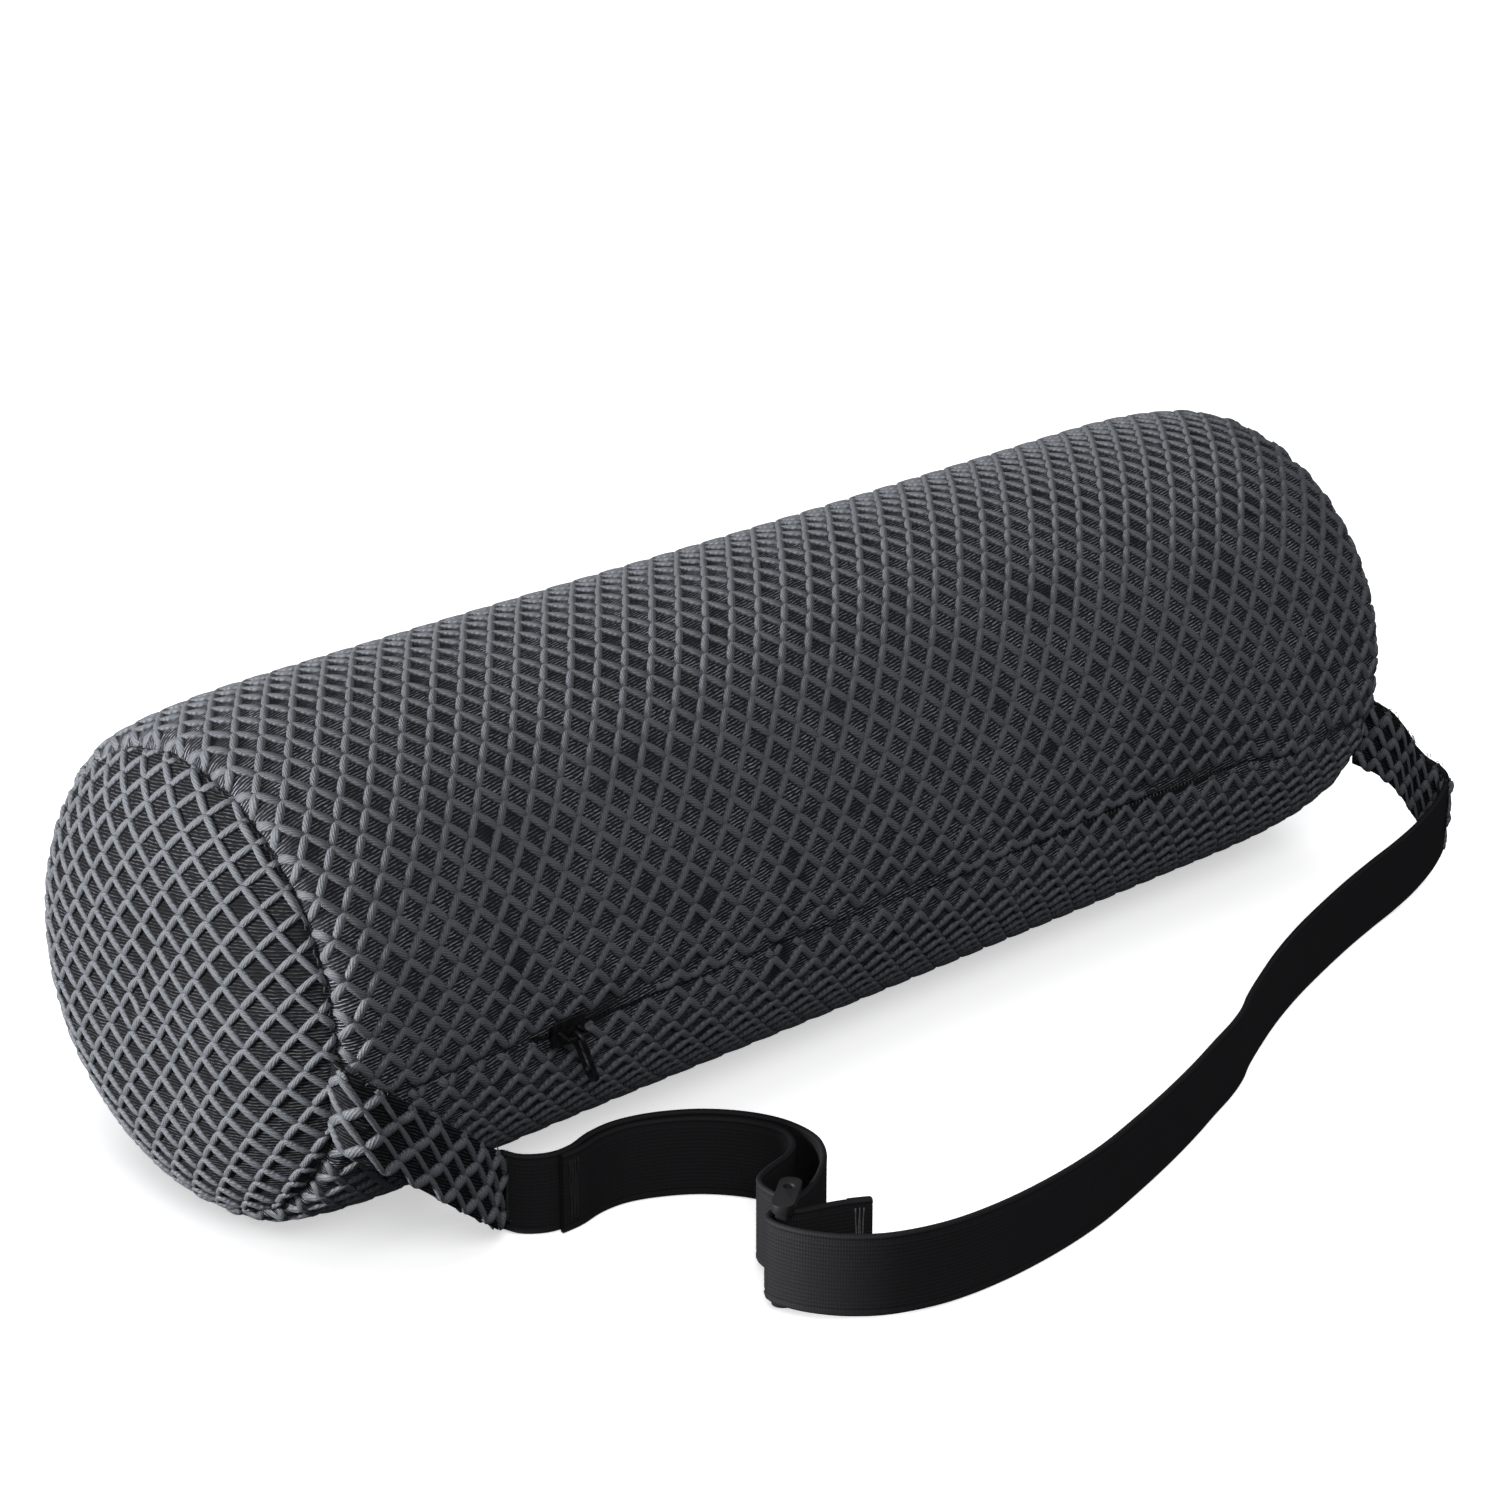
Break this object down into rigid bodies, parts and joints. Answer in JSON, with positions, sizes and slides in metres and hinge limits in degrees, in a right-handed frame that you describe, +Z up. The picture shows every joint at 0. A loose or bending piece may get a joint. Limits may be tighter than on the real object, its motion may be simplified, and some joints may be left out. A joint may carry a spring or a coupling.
{
  "type": "lumbar support cushion",
  "caption": "Cylindrical foam lumbar cushion in a zipped mesh cover, with an elastic strap and a three-bar adjuster to hold it to a chair's back.",
  "frame": {"origin": "middle of the flat that the roll rests on", "axes": "+X along the roll, from the end that has the adjuster and the zip slider to the other end; -Y towards the zip and the strap; +Z up"},
  "size_m": [0.3749, 0.2032, 0.119],
  "materials": {
    "mesh_fabric": "matte",
    "foam": "matte",
    "elastic": "matte",
    "moulded_plastic": "satin",
    "zip_tape": "matte",
    "zip_coil": "satin",
    "zip_metal": "satin",
    "sewing_thread": "matte"
  },
  "bodies": {
    "cushion": {"foam_core": "foam", "cover_panel": "mesh_fabric", "cap_left": "mesh_fabric", "cap_right": "mesh_fabric", "zip_tape_upper": "zip_tape", "zip_tape_lower": "zip_tape", "zip_coil_upper": "zip_coil", "zip_coil_lower": "zip_coil", "zip_stop_left": "zip_metal", "zip_stop_right": "zip_metal", "seam_thread_left": "sewing_thread", "seam_thread_right": "sewing_thread"},
    "slider": {"zip_slider": "zip_metal"},
    "pull": {"zip_pull": "zip_metal"},
    "strap_loop": {"tab_left": "mesh_fabric", "tab_right": "mesh_fabric", "strap_left": "elastic", "strap_right": "elastic", "adjuster": "moulded_plastic", "tab_stitch_left": "sewing_thread", "tab_stitch_right": "sewing_thread", "loop_stitch": "sewing_thread", "hem_stitch": "sewing_thread"}
  },
  "joints": [
    {"name": "zip_slide", "type": "slide", "parent": "cushion", "child": "slider", "axis": [1, 0, 0], "range_m": [0, 0.2237]},
    {"name": "pull_swing", "type": "hinge", "parent": "slider", "child": "pull", "pos_m": [-0.112, -0.06239, 0.04809], "axis": [-1, 0, 0], "range_deg": [0, 150]},
    {"name": "strap_swing", "type": "hinge", "parent": "cushion", "child": "strap_loop", "pos_m": [-0.1715, -0.0578, 0.058], "axis": [-0.9997, 0.0035, 0.023], "range_deg": [0, 100]}
  ]
}
